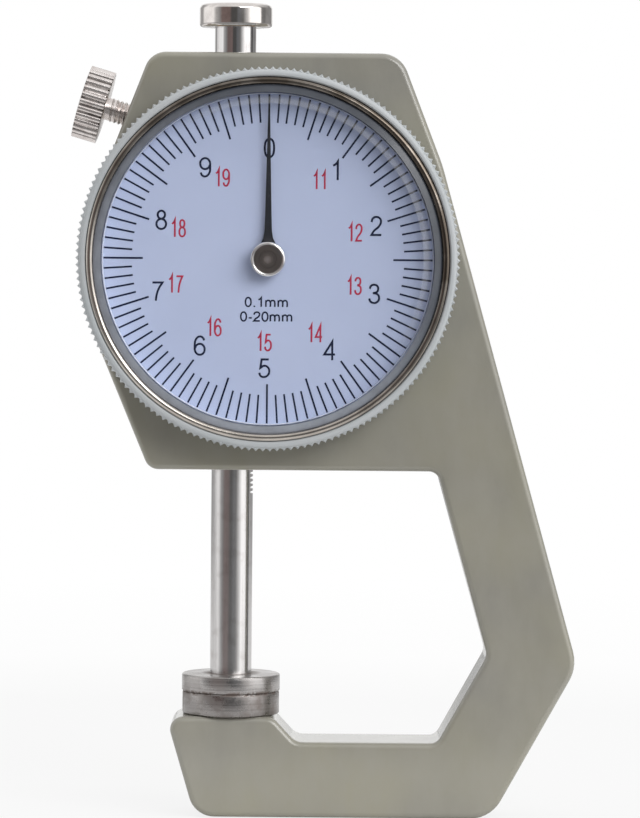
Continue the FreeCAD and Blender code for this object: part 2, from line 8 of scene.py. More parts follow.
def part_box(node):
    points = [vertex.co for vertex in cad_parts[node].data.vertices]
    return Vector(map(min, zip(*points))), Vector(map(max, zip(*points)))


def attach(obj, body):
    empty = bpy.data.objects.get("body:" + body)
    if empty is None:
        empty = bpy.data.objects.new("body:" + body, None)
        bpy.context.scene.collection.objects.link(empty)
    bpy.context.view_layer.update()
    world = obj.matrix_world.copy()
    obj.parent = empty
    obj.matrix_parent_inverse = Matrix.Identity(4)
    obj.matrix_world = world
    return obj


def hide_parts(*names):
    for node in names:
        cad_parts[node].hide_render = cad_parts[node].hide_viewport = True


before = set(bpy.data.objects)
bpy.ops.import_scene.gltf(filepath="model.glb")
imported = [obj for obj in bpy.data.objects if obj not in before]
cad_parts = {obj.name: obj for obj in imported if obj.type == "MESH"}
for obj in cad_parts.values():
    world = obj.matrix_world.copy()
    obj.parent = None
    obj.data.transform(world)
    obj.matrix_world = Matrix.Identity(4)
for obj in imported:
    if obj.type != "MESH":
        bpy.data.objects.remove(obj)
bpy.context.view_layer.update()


# ---- Frame casting -------------------------------------------------------------------
# The C-shaped body: zinc, cast in one piece with the round housing and both arms, and
# spray-painted in a satin grey-green. All its outer edges are rounded by the mould.
mm = 0.001  # sizes are in millimetres, from the flat base under the spindle's axis
casting_depth = 9.0
casting_edge = 0.62
casting_corners = [  # x, z and rounding, from the base's left corner to its right one
    (-3.6, 0.0, 2.7), (-6.71, 10.5, 1.4), (4.48, 10.5, 1.4), (6.90, 7.9, 1.8),
    (21.63, 7.9, 1.2), (26.76, 17.12, 1.5), (21.40, 36.3, 1.2), (-8.65, 36.3, 1.5),
    (-17.39, 57.3, 19.0), (-8.7, 79.7, 2.3), (17.17, 79.7, 2.9), (21.63, 68.2, 15.0),
    (36.21, 16.0, 4.0), (27.3, 0.0, 3.7),
]
arc_step = math.radians(9)
housing_sides = 180
spigot_r, spigot_front, spigot_root = 17.4, -6.0, -3.0
cavity_r, cavity_floor = 16.2, 2.9
arbor_bore_r, arbor_bore_end = 1.51, 4.0
rod_bore_r, rod_bore_ends = 2.45, (34, 82)
bush_bore_r = 2.66
anvil_bore_r, anvil_bore_ends = 1.51, (5.5, 11.5)
screw_bore_r, screw_bore_ends = 1.32, (-14, -3)
screw_tilt = math.radians(16.5)
paint_colour = (0.292, 0.281, 0.238, 1)
paint_warm = (0.322, 0.308, 0.236, 1)
paint_cool = (0.268, 0.260, 0.230, 1)
paint_speck = (0.06, 0.05, 0.045, 1)


class Tone:
    """A shader socket that can be used in sums."""

    def __init__(self, finish, socket):
        self.finish = finish
        self.socket = socket

    def sum_with(self, operation, first, second):
        return self.finish.node("Math", {"operation": operation}, {0: first, 1: second})

    def __add__(self, other):
        return self.sum_with("ADD", self, other)

    def __sub__(self, other):
        return self.sum_with("SUBTRACT", self, other)

    def __mul__(self, other):
        return self.sum_with("MULTIPLY", self, other)

    def __truediv__(self, other):
        return self.sum_with("DIVIDE", self, other)

    def __radd__(self, other):
        return self.sum_with("ADD", other, self)

    def __rsub__(self, other):
        return self.sum_with("SUBTRACT", other, self)

    def __rmul__(self, other):
        return self.sum_with("MULTIPLY", other, self)


class Finish:
    """A material, or the world, built node by node."""

    def __init__(self, name, world=False):
        self.owner = bpy.data.worlds.new(name) if world else bpy.data.materials.new(name)
        self.owner.use_nodes = True
        self.tree = self.owner.node_tree
        self.tree.nodes.clear()

    def node(self, kind, settings=None, inputs=None, out=0):
        made = self.tree.nodes.new("ShaderNode" + kind)
        for key, value in (settings or {}).items():
            if key == "stops":
                ramp = made.color_ramp
                while len(ramp.elements) < len(value):
                    ramp.elements.new(1.0)
                for element, (place, colour) in zip(ramp.elements, value):
                    element.position = place
                    element.color = colour
            else:
                setattr(made, key, value)
        for key, value in (inputs or {}).items():
            if isinstance(value, Tone):
                self.tree.links.new(value.socket, made.inputs[key])
            else:
                made.inputs[key].default_value = value
        return Tone(self, made.outputs[out])

    def place(self):
        """Object coordinates, in metres."""
        return self.node("TexCoord", out="Object")

    def axes(self, vector):
        """The three parts of a vector."""
        return [self.node("SeparateXYZ", inputs={0: vector}, out=i) for i in range(3)]

    def root(self, value):
        return self.node("Math", {"operation": "SQRT"}, {0: value})

    def larger(self, first, second):
        return self.node("Math", {"operation": "MAXIMUM"}, {0: first, 1: second})

    def stretched(self, place, x, y, z):
        return self.node("Mapping", inputs={"Vector": place, "Scale": (x, y, z)})

    def noise(self, place, scale, detail, rough=0.5):
        sockets = {"Vector": place, "Scale": scale, "Detail": detail, "Roughness": rough}
        return self.node("TexNoise", inputs=sockets)

    def fade(self, value, low, high, to_low=0.0, to_high=1.0):
        """Maps a value from low..high to another range, and holds it there."""
        ends = {"Value": value, 1: low, 2: high, 3: to_low, 4: to_high}
        return self.node("MapRange", {"clamp": True}, ends)

    def mix(self, share, first, second, blend="MIX"):
        kind = {"data_type": "RGBA", "blend_type": blend}
        return self.node("Mix", kind, {0: share, 6: first, 7: second}, out=2)

    def dark(self, colour, share):
        """A colour multiplied by a number or a grey."""
        return self.mix(1.0, colour, share, "MULTIPLY")

    def bump(self, height, strength, distance):
        sockets = {"Height": height, "Strength": strength, "Distance": distance}
        return self.node("Bump", inputs=sockets)

    def shader_mix(self, share, first, second):
        return self.node("MixShader", inputs={0: share, 1: first, 2: second})

    def ray(self, kind):
        """1 for light of one kind, such as what the camera sees, and 0 for the rest."""
        return self.node("LightPath", out=f"Is {kind} Ray")

    def principled(self, **sockets):
        """A Principled shader; an underscore stands for a space."""
        named = {key.replace("_", " "): value for key, value in sockets.items()}
        return self.node("BsdfPrincipled", inputs=named)

    def surface(self, **sockets):
        """Ends the material in one Principled shader."""
        self.finish_with(self.principled(**sockets))

    def finish_with(self, shader):
        on_piece = isinstance(self.owner, bpy.types.Material)
        kind = "ShaderNodeOutputMaterial" if on_piece else "ShaderNodeOutputWorld"
        end = self.tree.nodes.new(kind)
        self.tree.links.new(shader.socket, end.inputs["Surface"])


def clear_selection():
    bpy.ops.object.select_all(action="DESELECT")


def choose(piece):
    """Selects one piece and nothing else."""
    clear_selection()
    piece.select_set(True)
    bpy.context.view_layer.objects.active = piece


def name_piece(name):
    piece = bpy.context.object
    piece.name = name
    piece.data.name = name
    return piece


def settle(piece):
    """Puts the piece's place, turn and scale into its mesh."""
    choose(piece)
    bpy.ops.object.transform_apply(location=True, rotation=True, scale=True)


def pick(piece, test, mode="FACE"):
    """Opens edit mode with only what passes the test selected."""
    choose(piece)
    bpy.ops.object.mode_set(mode="EDIT")
    bpy.ops.mesh.select_mode(type=mode)
    bpy.ops.mesh.select_all(action="DESELECT")
    mesh = bmesh.from_edit_mesh(piece.data)
    for item in {"FACE": mesh.faces, "EDGE": mesh.edges, "VERT": mesh.verts}[mode]:
        if test(item):
            item.select_set(True)
    mesh.select_flush_mode()
    bmesh.update_edit_mesh(piece.data)


def extrude(move):
    bpy.ops.mesh.extrude_region_move(TRANSFORM_OT_translate={"value": move})


def close_edit():
    bpy.ops.object.mode_set(mode="OBJECT")


def face_outwards():
    """Turns the open piece's faces outwards, and closes edit mode."""
    bpy.ops.mesh.select_all(action="SELECT")
    bpy.ops.mesh.normals_make_consistent(inside=False)
    close_edit()


def modify(piece, kind, **settings):
    """Adds one modifier and applies it."""
    choose(piece)
    modifier = piece.modifiers.new(kind, kind)
    for key, value in settings.items():
        setattr(modifier, key, value)
    bpy.ops.object.modifier_apply(modifier=modifier.name)


def cut(piece, tool, operation="DIFFERENCE"):
    """Cuts a tool out of a piece, or joins it on, and removes the tool."""
    modify(piece, "BOOLEAN", object=tool, operation=operation, solver="EXACT")
    bpy.data.objects.remove(tool)


def smooth(piece, degrees):
    """Smooth shading, broken at sharp edges, with the flats kept flat."""
    choose(piece)
    bpy.ops.object.shade_smooth_by_angle(angle=math.radians(degrees))
    modify(piece, "WEIGHTED_NORMAL", weight=50, keep_sharp=True)


def bar(radius, start, end, sides=64):
    """A round bar between two points, in millimetres, as a cutting or joining tool."""
    start, end = Vector(start) * mm, Vector(end) * mm
    clear_selection()
    bpy.ops.mesh.primitive_cylinder_add(
        vertices=sides,
        radius=radius * mm,
        depth=(end - start).length,
        location=(start + end) / 2,
        rotation=(end - start).to_track_quat("Z", "Y").to_euler(),
    )
    tool = name_piece("tool")
    settle(tool)
    return tool


def rounded_outline(corners):
    """Points round a polygon whose corners are arcs, from (x, z, radius)."""
    points = []
    for i, (x, z, radius) in enumerate(corners):
        here = Vector((x, z))
        back = (Vector(corners[i - 1][:2]) - here).normalized()
        on = (Vector(corners[(i + 1) % len(corners)][:2]) - here).normalized()
        half = back.angle(on) / 2
        middle = here + (back + on).normalized() * (radius / math.sin(half))
        first = here + back * (radius / math.tan(half)) - middle
        last = here + on * (radius / math.tan(half)) - middle
        turn = first.angle_signed(last)
        steps = max(2, math.ceil(abs(turn) / arc_step))
        for step in range(steps + 1):
            angle = -turn * step / steps
            points.append(middle + Matrix.Rotation(angle, 2) @ first)
    return points


clear_selection()
outline = rounded_outline(casting_corners)
bpy.ops.mesh.primitive_circle_add(vertices=len(outline), fill_type="NGON")
casting = name_piece("painted_casting")
for vertex, (x, z) in zip(casting.data.vertices, outline):
    vertex.co = (x * mm, -casting_depth / 2 * mm, z * mm)
pick(casting, lambda face: True)
extrude((0, casting_depth * mm, 0))
face_outwards()
pick(casting, lambda edge: abs(edge.verts[0].co.y - edge.verts[1].co.y) < 1e-6, "EDGE")
bpy.ops.mesh.bevel(offset=casting_edge * mm, segments=5, profile=0.5)
close_edit()

dial_low, dial_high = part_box("dial_plate")
dial_x = (dial_low.x + dial_high.x) / 2 / mm
dial_z = (dial_low.z + dial_high.z) / 2 / mm


def dial_bar(radius, start_y, end_y, sides=64):
    """A round bar along the dial's axis."""
    return bar(radius, (dial_x, start_y, dial_z), (dial_x, end_y, dial_z), sides)


def upright_bar(radius, start_z, end_z, sides=64):
    """A round bar along the spindle's axis."""
    return bar(radius, (0, 0, start_z), (0, 0, end_z), sides)


cut(casting, dial_bar(spigot_r, spigot_front, spigot_root, housing_sides), "UNION")
cut(casting, dial_bar(cavity_r, spigot_front - 1, cavity_floor, housing_sides))
cut(casting, upright_bar(rod_bore_r, *rod_bore_ends))
for node, lift in (("lower_bush", 0.0), ("upper_bush", 1.0)):
    low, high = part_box(node)
    cut(casting, upright_bar(bush_bore_r, low.z / mm - 1 + lift, high.z / mm + lift))
cut(casting, upright_bar(anvil_bore_r, *anvil_bore_ends))
cut(casting, dial_bar(arbor_bore_r, 0, arbor_bore_end))
screw_line = Vector((math.cos(screw_tilt), 0, -math.sin(screw_tilt)))
screw_start = Vector((0, 0, 69.85))
screw_bore = [screw_start + end * screw_line for end in screw_bore_ends]
cut(casting, bar(screw_bore_r, *screw_bore))
smooth(casting, 30)

paint = Finish("satin_grey_paint")
spot = paint.place()
broad = paint.noise(spot, 95.0, 2.0, 0.45)
patch = paint.noise(paint.stretched(spot, 1.0, 1.0, 0.45), 330.0, 4.0, 0.6)
fine = paint.noise(spot, 2300.0, 2.0, 0.5)
coat = paint.mix(paint.fade(broad, 0.3, 0.7), paint_cool, paint_warm)
coat = paint.mix(paint.fade(patch, 0.35, 0.65, 0.0, 0.6), coat, paint_colour)
coat = paint.dark(coat, paint.fade(patch, 0.3, 0.7, 0.96, 1.05))
specks = paint.node("TexVoronoi", {"feature": "F1"}, {"Vector": spot, "Scale": 150.0})
lonely = paint.fade(paint.noise(spot, 120.0, 1.0), 0.60, 0.66)
speck = paint.fade(specks, 0.022, 0.045, 1.0, 0.0) * lonely
paint.surface(
    Base_Color=paint.mix(speck * 0.75, coat, paint_speck),
    Roughness=paint.fade(patch, 0.3, 0.7, 0.36, 0.46),
    Coat_Weight=1.0,
    Coat_Roughness=0.12,
    IOR=1.5,
    Normal=paint.bump(patch * 0.6 + fine * 0.06, 0.2, 0.0003),
)
casting.data.materials.append(paint.owner)
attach(casting, "frame")
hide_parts("frame")


# ---- Anvil and foot ------------------------------------------------------------------
# Two hardened steel discs that meet at zero: the anvil is pressed into the frame's jaw,
# the foot onto the spindle. Turned all over, with the lathe's fine lines left on.
lathe_steps = 144
disc_edge = 0.12
disc_softening = 0.03
anvil_stem_r, anvil_seat = 1.5, 10.5
foot_hole_r, foot_hole_depth = 1.51, 1.3
anvil_grey, anvil_rust = (0.37, 0.35, 0.34, 1), 0.75
foot_grey, foot_rust = (0.50, 0.48, 0.47, 1), 0.35
steel_shade = (0.72, 0.72, 0.72, 1)
rust_brown = (0.115, 0.08, 0.065, 1)


def first_point(name, place):
    """Starts a piece as a single point, in metres, and leaves edit mode open."""
    clear_selection()
    bpy.ops.mesh.primitive_plane_add(size=mm)
    piece = name_piece(name)
    bpy.ops.object.mode_set(mode="EDIT")
    bpy.ops.mesh.select_mode(type="VERT")
    bpy.ops.mesh.select_all(action="SELECT")
    bpy.ops.mesh.merge(type="CENTER")
    bpy.ops.transform.translate(value=place)
    return piece


def turned(name, profile, centre=(0, 0, 0), axis=(0, 0, 1), steps=lathe_steps):
    """Spins (radius, height) points, in millimetres, about a line through the centre."""
    centre, axis, side = Vector(centre), Vector(axis), Vector((1, 0, 0))
    points = [(centre + side * r + axis * h) * mm for r, h in profile]
    piece = first_point(name, points[0])
    on_axis = profile[0][0] == 0 and profile[-1][0] == 0
    run = points if on_axis else points + points[:1]
    for before, after in zip(run, run[1:]):
        extrude(after - before)
    bpy.ops.mesh.select_all(action="SELECT")
    bpy.ops.mesh.remove_doubles(threshold=1e-7)
    bpy.ops.mesh.spin(steps=steps, angle=2 * math.pi, center=centre * mm, axis=axis)
    bpy.ops.mesh.select_all(action="SELECT")
    bpy.ops.mesh.remove_doubles(threshold=1e-7)
    bpy.ops.mesh.dissolve_degenerate(threshold=1e-8)
    face_outwards()
    return piece


def round_edges(piece, width, segments, degrees=30):
    """Rounds the sharp edges of a turned piece."""
    modify(
        piece, "BEVEL", width=width * mm, segments=segments,
        limit_method="ANGLE", angle_limit=math.radians(degrees),
    )
    smooth(piece, 40)


def steel_finish(name, colour, joint, rust):
    """Turned steel: fine rings, an uneven brown stain that gathers at the rod, and a dark
    worn edge at the joint's height, in millimetres."""
    steel = Finish(name)
    spot = steel.place()
    x, y, z = steel.axes(spot)
    off_joint = steel.node("Math", {"operation": "ABSOLUTE"}, {0: z - joint * mm})
    lines = steel.noise(steel.stretched(spot, 60.0, 60.0, 5200.0), 1.0, 2.0, 0.6)
    rings = steel.noise(spot, 900.0, 3.0, 0.6)
    grey = steel.mix(steel.fade(lines, 0.25, 0.75), steel.dark(colour, steel_shade), colour)
    stain = steel.fade(steel.noise(spot, 420.0, 4.0, 0.65), 0.45, 0.72) * rust
    chips = steel.fade(steel.noise(spot, 1500.0, 3.0, 0.7), 0.46, 0.56)
    worn_edge = steel.fade(off_joint, 0.0001, 0.00035, 1.0, 0.0) * chips
    at_rod = steel.fade(steel.root(x * x + y * y), 0.0023, 0.0034, 0.9, 0.0)
    at_rod = at_rod * steel.fade(rings, 0.3, 0.55, 0.4, 1.0)
    stain = steel.larger(steel.larger(stain, worn_edge * 0.85), at_rod)
    steel.surface(
        Base_Color=steel.mix(stain, grey, rust_brown),
        Metallic=1.0 - stain * 0.7,
        Roughness=0.19 + lines * 0.12 + stain * 0.35,
        Normal=steel.bump(lines * 0.5 + rings * 0.15 - worn_edge * 0.8, 0.35, 0.00005),
    )
    return steel.owner


anvil_low, anvil_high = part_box("anvil")
anvil_bottom, anvil_top, anvil_r = anvil_low.z / mm, anvil_high.z / mm, anvil_high.x / mm
anvil = turned(
    "anvil_disc",
    [
        (0, anvil_bottom), (anvil_stem_r, anvil_bottom), (anvil_stem_r, anvil_seat),
        (anvil_r - 0.14, anvil_seat), (anvil_r, anvil_seat + disc_edge),
        (anvil_r, anvil_top - 0.16), (anvil_r - disc_edge, anvil_top), (0, anvil_top),
    ],
)
round_edges(anvil, disc_softening, 2)
anvil.data.materials.append(
    steel_finish("turned_steel", anvil_grey, anvil_top, anvil_rust)
)
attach(anvil, "frame")
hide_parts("anvil")

foot_low, foot_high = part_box("foot")
foot_bottom, foot_top, foot_r = foot_low.z / mm, foot_high.z / mm, foot_high.x / mm
foot = turned(
    "foot_disc",
    [
        (0, foot_bottom), (foot_r - 0.1, foot_bottom), (foot_r, foot_bottom + 0.1),
        (foot_r, foot_top - disc_edge), (foot_r - disc_edge, foot_top),
        (foot_hole_r, foot_top), (foot_hole_r, foot_top - foot_hole_depth),
        (0, foot_top - foot_hole_depth),
    ],
)
round_edges(foot, disc_softening, 2)
foot.data.materials.append(
    steel_finish("turned_steel_foot", foot_grey, anvil_top, foot_rust)
)


# ---- Spindle -------------------------------------------------------------------------
# A ground steel rod that carries the foot below and the lift cap above. Its right side
# has a flat strip between two fine grooves, with the rack's teeth cut across it.
spindle_r = 2.2
groove_turn, groove_half = math.radians(53), math.radians(2.2)
groove_depth, strip_depth = 0.16, 0.05
rack_pitch = 0.5
rack_z = (33.8, 60.3)
gap_root_x, gap_root_half = 1.88, 0.068
gap_mouth_x, gap_mouth_half = 2.36, 0.215
gap_reach = 3.0
rod_top = 82.4
rod_sides = 160
guide_pin_r, foot_stem_r, cap_stud_r, stem_overlap = 0.5, 1.5, 1.25, 0.5
rod_deep, rod_light = (0.62, 0.605, 0.60, 1), (0.72, 0.705, 0.70, 1)
rod_tarnish = (0.30, 0.25, 0.23, 1)

rod_low, rod_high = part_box("spindle")
clear_selection()
bpy.ops.mesh.primitive_circle_add(
    vertices=rod_sides, radius=spindle_r * mm, fill_type="NGON"
)
rod = name_piece("spindle_rod")
for vertex in rod.data.vertices:
    angle = math.atan2(vertex.co.x, abs(vertex.co.y))
    depth = 0.0
    if abs(angle - groove_turn) < groove_half:
        depth = groove_depth
    elif angle > groove_turn:
        depth = strip_depth
    vertex.co *= (spindle_r - depth) / spindle_r
    vertex.co.z = foot_top * mm
pick(rod, lambda face: True)
extrude((0, 0, (rod_top - foot_top) * mm))
face_outwards()

clear_selection()
bpy.ops.mesh.primitive_cube_add(size=mm)
tooth_gap = name_piece("rack_gap")
for vertex in tooth_gap.data.vertices:
    outer = vertex.co.x > 0
    half = gap_mouth_half if outer else gap_root_half
    vertex.co = Vector((
        (gap_mouth_x if outer else gap_root_x) * mm,
        math.copysign(gap_reach * mm, vertex.co.y),
        rack_z[0] * mm + math.copysign(half * mm, vertex.co.z),
    ))
modify(
    tooth_gap,
    "ARRAY",
    count=round((rack_z[1] - rack_z[0]) / rack_pitch) + 1,
    use_relative_offset=False,
    use_constant_offset=True,
    constant_offset_displace=(0, 0, rack_pitch * mm),
)
cut(rod, tooth_gap)
pin_low, pin_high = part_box("guide_pin")
pin_z = (pin_low.z + pin_high.z) / 2 / mm
cut(rod, bar(guide_pin_r, (0, -3, pin_z), (0, 3, pin_z), 32))
cut(rod, upright_bar(foot_stem_r, rod_low.z / mm, foot_top + stem_overlap), "UNION")
cut(rod, upright_bar(cap_stud_r, rod_top - stem_overlap, rod_high.z / mm), "UNION")
smooth(rod, 28)

ground = Finish("ground_steel_rod")
spot = ground.place()
grain = ground.noise(ground.stretched(spot, 900.0, 900.0, 260.0), 1.0, 4.0, 0.6)
streak = ground.noise(ground.stretched(spot, 4200.0, 4200.0, 70.0), 1.0, 2.0, 0.5)
tarnish_and_painted_shade = ground.fade(ground.noise(spot, 700.0, 5.0, 0.6), 0.52, 0.75)
clean = ground.mix(ground.fade(streak, 0.3, 0.7), rod_deep, rod_light)
rubbed = ground.fade(ground.axes(spot)[2], 0.055, 0.074, 0.15, 0.06)
ground.surface(
    Base_Color=ground.mix(tarnish_and_painted_shade * 0.3, clean, rod_tarnish),
    Metallic=1.0,
    Roughness=rubbed + grain * 0.08,
    Normal=ground.bump(grain, 0.08, 0.00002),
)
rod.data.materials.append(ground.owner)
for piece, node in ((rod, "spindle"), (foot, "foot")):
    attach(piece, "spindle")
    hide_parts(node)


# ---- Lift cap ------------------------------------------------------------------------
# The button at the spindle's top, lifted with a finger: turned, rounded at both edges,
# slightly domed, and nickel-plated to a bright finish.
cap_hole_r, cap_hole_depth = 1.26, 1.6
nickel_light, nickel_deep = (0.80, 0.76, 0.73, 1), (0.64, 0.60, 0.575, 1)

cap_low, cap_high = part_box("lift_cap")
cap_bottom, cap_top, cap_r = cap_low.z / mm, cap_high.z / mm, cap_high.x / mm
cap = turned(
    "lift_button",
    [
        (cap_hole_r, cap_bottom), (cap_r - 0.34, cap_bottom),
        (cap_r - 0.1, cap_bottom + 0.1), (cap_r, cap_bottom + 0.36),
        (cap_r, cap_top - 0.5), (cap_r - 0.16, cap_top - 0.2),
        (cap_r - 0.5, cap_top - 0.04), (cap_r - 1.4, cap_top), (0, cap_top),
        (0, cap_bottom + cap_hole_depth), (cap_hole_r, cap_bottom + cap_hole_depth),
    ],
)
round_edges(cap, 0.07, 3, 15)
nickel = Finish("bright_nickel")
spot = nickel.place()
haze_and_painted_light = nickel.noise(spot, 900.0, 4.0, 0.6)
rub = nickel.noise(nickel.stretched(spot, 150.0, 150.0, 3000.0), 1.0, 2.0, 0.5)
nickel.surface(
    Base_Color=nickel.mix(nickel.fade(haze_and_painted_light, 0.35, 0.7), nickel_light, nickel_deep),
    Metallic=1.0,
    Roughness=0.06 + haze_and_painted_light * 0.07,
    Normal=nickel.bump(haze_and_painted_light * 0.4 + rub * 0.3, 0.08, 0.00001),
)
cap.data.materials.append(nickel.owner)
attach(cap, "spindle")
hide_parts("lift_cap")


# ---- Spindle lock screw --------------------------------------------------------------
# A thumb screw in the housing's left flank. The head is a nickel-plated brass drum with
# straight ribs all round, and painted shade darkens the drum between the ribs. A plain
# neck and a thread join it to the housing.
head_r, head_length, head_edge = 3.85, 2.7, 0.25
small_lathe_steps = 96
rib_count, rib_depth, rib_r, rib_sides = 30, 0.2, 0.34, 12
rib_end_inset, rib_end_slope = 0.09, 0.06
shank_r, shank_shown = 1.25, 2.4
thread_pitch, thread_depth, thread_crest, thread_gap = 0.45, 0.2, 0.06, 0.03
neck_length, neck_step = 0.6, 0.08
flank_at = -11.71
head_at = flank_at - shank_shown
thread_from, thread_to = head_at + neck_length, flank_at + 5.0
screw_light, screw_deep = (0.86, 0.81, 0.785, 1), (0.62, 0.56, 0.535, 1)
rib_valley_shade = (0.06, 0.048, 0.042, 1)


def copy_round(count, centre, axis):
    """Copies what is selected in edit mode to evenly spaced places round a circle."""
    bpy.ops.mesh.spin(
        steps=count - 1, dupli=True, angle=2 * math.pi * (count - 1) / count,
        center=Vector(centre) * mm, axis=axis,
    )


def join(pieces):
    """Joins the pieces into the first of them."""
    clear_selection()
    for piece in pieces:
        piece.select_set(True)
    bpy.context.view_layer.objects.active = pieces[0]
    bpy.ops.object.join()


drum_r = head_r - rib_depth
head_end = head_at - head_length
head = turned(
    "lock_screw_head",
    [
        (0, head_end), (drum_r - head_edge, head_end), (drum_r, head_end + 0.2),
        (drum_r, head_at - 0.2), (drum_r - head_edge, head_at), (0, head_at),
    ],
    steps=small_lathe_steps,
)
round_edges(head, 0.06, 2)
clear_selection()
bpy.ops.mesh.primitive_cylinder_add(
    vertices=rib_sides, radius=rib_r * mm, depth=(head_length - 0.1) * mm,
    location=((head_r - rib_r) * mm, 0, (head_at - head_length / 2) * mm),
)
ribs = name_piece("head_ribs")
settle(ribs)
pick(ribs, lambda face: abs(face.normal.z) > 0.9)
bpy.ops.mesh.inset(thickness=rib_end_inset * mm)
bpy.ops.transform.translate(value=(-rib_end_slope * mm, 0, 0))
bpy.ops.mesh.select_all(action="SELECT")
copy_round(rib_count, (0, 0, 0), (0, 0, 1))
close_edit()
smooth(ribs, 50)

thread = first_point(
    "screw_thread",
    ((shank_r - thread_depth) * mm, 0, (thread_to - thread_pitch) * mm),
)
flank = thread_pitch / 2 - thread_gap
for step in (
    (thread_depth, 0, flank), (0, 0, thread_crest), (-thread_depth, 0, flank),
):
    extrude(Vector(step) * mm)
bpy.ops.mesh.select_all(action="SELECT")
bpy.ops.mesh.screw(
    steps=40, turns=round((thread_to - thread_from) / thread_pitch),
    center=(0, 0, 0), axis=(0, 0, -1),
)
bpy.ops.mesh.select_all(action="SELECT")
bpy.ops.mesh.remove_doubles(threshold=1e-7)
face_outwards()
pick(thread, lambda edge: len(edge.link_faces) == 1, "EDGE")
bpy.ops.mesh.edge_face_add()
close_edit()
smooth(thread, 40)

neck = upright_bar(shank_r - neck_step, head_at - 0.3, thread_from + 0.5, 48)
smooth(neck, 40)

join([head, ribs, thread, neck])
lock_screw = name_piece("lock_thumb_screw")
lock_screw.matrix_world = (
    Matrix.Translation(screw_start * mm)
    @ screw_line.to_track_quat("Z", "Y").to_matrix().to_4x4()
)
settle(lock_screw)
worn = Finish("thumb_screw_nickel")
spot = worn.place()
haze_and_painted_light = worn.noise(spot, 1100.0, 4.0, 0.6)
x, y, z = worn.axes(spot)
z = z - screw_start.z * mm
along = x * screw_line.x + z * screw_line.z
off_axis = worn.root(x * x + y * y + z * z - along * along)
# Painted shade: the drum and the rib roots between the ribs are darkened, unevenly from rib
# to rib, where shade falls in the valleys.
valley_painted_shade = worn.fade(off_axis, 0.00364, 0.0037, 1.0, 0.0)
valley_painted_shade = valley_painted_shade * worn.fade(off_axis, 0.0033, 0.0035)
shade_patchiness = worn.fade(worn.noise(spot, 420.0, 2.0, 0.5), 0.35, 0.62, 0.15, 0.95)
clean = worn.mix(worn.fade(haze_and_painted_light, 0.35, 0.7), screw_light, screw_deep)
worn.surface(
    Base_Color=worn.mix(valley_painted_shade * shade_patchiness, clean, rib_valley_shade),
    Metallic=1.0,
    Roughness=0.20 + haze_and_painted_light * 0.14,
    Normal=worn.bump(haze_and_painted_light, 0.1, 0.00003),
)
lock_screw.data.materials.clear()
lock_screw.data.materials.append(worn.owner)
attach(lock_screw, "lock_screw")
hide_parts("lock_screw")


# ---- Bezel ---------------------------------------------------------------------------
# The ring that turns to set zero: moulded light grey plastic with 170 fine ribs round
# its rim, snapped over the housing's round rim. The dial and crystal sit inside it.
bezel_rib_count, bezel_rib_depth = 170, 0.3
bezel_rib_r, bezel_rib_length, bezel_rib_root = 0.37, 3.5, 0.5
bezel_rib_ends = (0.55, 1.32, 0.75)
bezel_bore_r, crystal_seat_r, trim_seat_r = 17.46, 18.16, 18.76
crystal_ledge_y, trim_ledge_y = -6.24, -8.08
ring_steps = 204
plastic_deep, plastic_light = (0.475, 0.508, 0.522, 1), (0.525, 0.55, 0.565, 1)
dial_axis = (dial_x, 0, dial_z)
outward = (0, 1, 0)

bezel_low, bezel_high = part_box("bezel")
bezel_r = (bezel_high.x - bezel_low.x) / 2 / mm
bezel_back, bezel_front = bezel_high.y / mm, bezel_low.y / mm
bezel_middle = (bezel_back + bezel_front) / 2 * mm
band_r = bezel_r - bezel_rib_depth
bezel = turned(
    "knurled_bezel",
    [
        (bezel_bore_r, bezel_back), (band_r - 0.3, bezel_back), (band_r, bezel_back - 0.3),
        (band_r, bezel_front + 0.4), (band_r - 0.08, bezel_front + 0.18),
        (band_r - 0.24, bezel_front + 0.04), (19.1, bezel_front),
        (18.9, bezel_front + 0.02), (trim_seat_r, bezel_front + 0.14),
        (trim_seat_r, trim_ledge_y), (crystal_seat_r, trim_ledge_y),
        (crystal_seat_r, crystal_ledge_y), (bezel_bore_r, crystal_ledge_y),
    ],
    dial_axis,
    outward,
    ring_steps,
)
smooth(bezel, 32)
clear_selection()
bpy.ops.mesh.primitive_cylinder_add(
    vertices=4, radius=bezel_rib_r * mm, depth=bezel_rib_length * mm,
    location=((dial_x + bezel_r - bezel_rib_r) * mm, bezel_middle, dial_z * mm),
    rotation=(math.pi / 2, 0, 0),
)
bezel_ribs = name_piece("bezel_ribs")
settle(bezel_ribs)
pick(bezel_ribs, lambda face: abs(face.normal.y) > 0.9)
bpy.ops.mesh.extrude_region_move()
bpy.ops.transform.resize(
    value=bezel_rib_ends,
    center_override=((dial_x + bezel_r - bezel_rib_root) * mm, bezel_middle, dial_z * mm),
)
bpy.ops.mesh.select_all(action="SELECT")
copy_round(bezel_rib_count, dial_axis, outward)
close_edit()
smooth(bezel_ribs, 60)
join([bezel, bezel_ribs])

plastic = Finish("light_grey_plastic")
spot = plastic.place()
cloud = plastic.noise(spot, 130.0, 3.0, 0.5)
grit = plastic.noise(spot, 2600.0, 2.0, 0.5)
plastic.surface(
    Base_Color=plastic.mix(plastic.fade(cloud, 0.35, 0.65), plastic_deep, plastic_light),
    Roughness=0.34 + grit * 0.1,
    IOR=1.49,
    Normal=plastic.bump(grit, 0.12, 0.00005),
)
bezel.data.materials.append(plastic.owner)
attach(bezel, "bezel")
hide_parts("bezel")


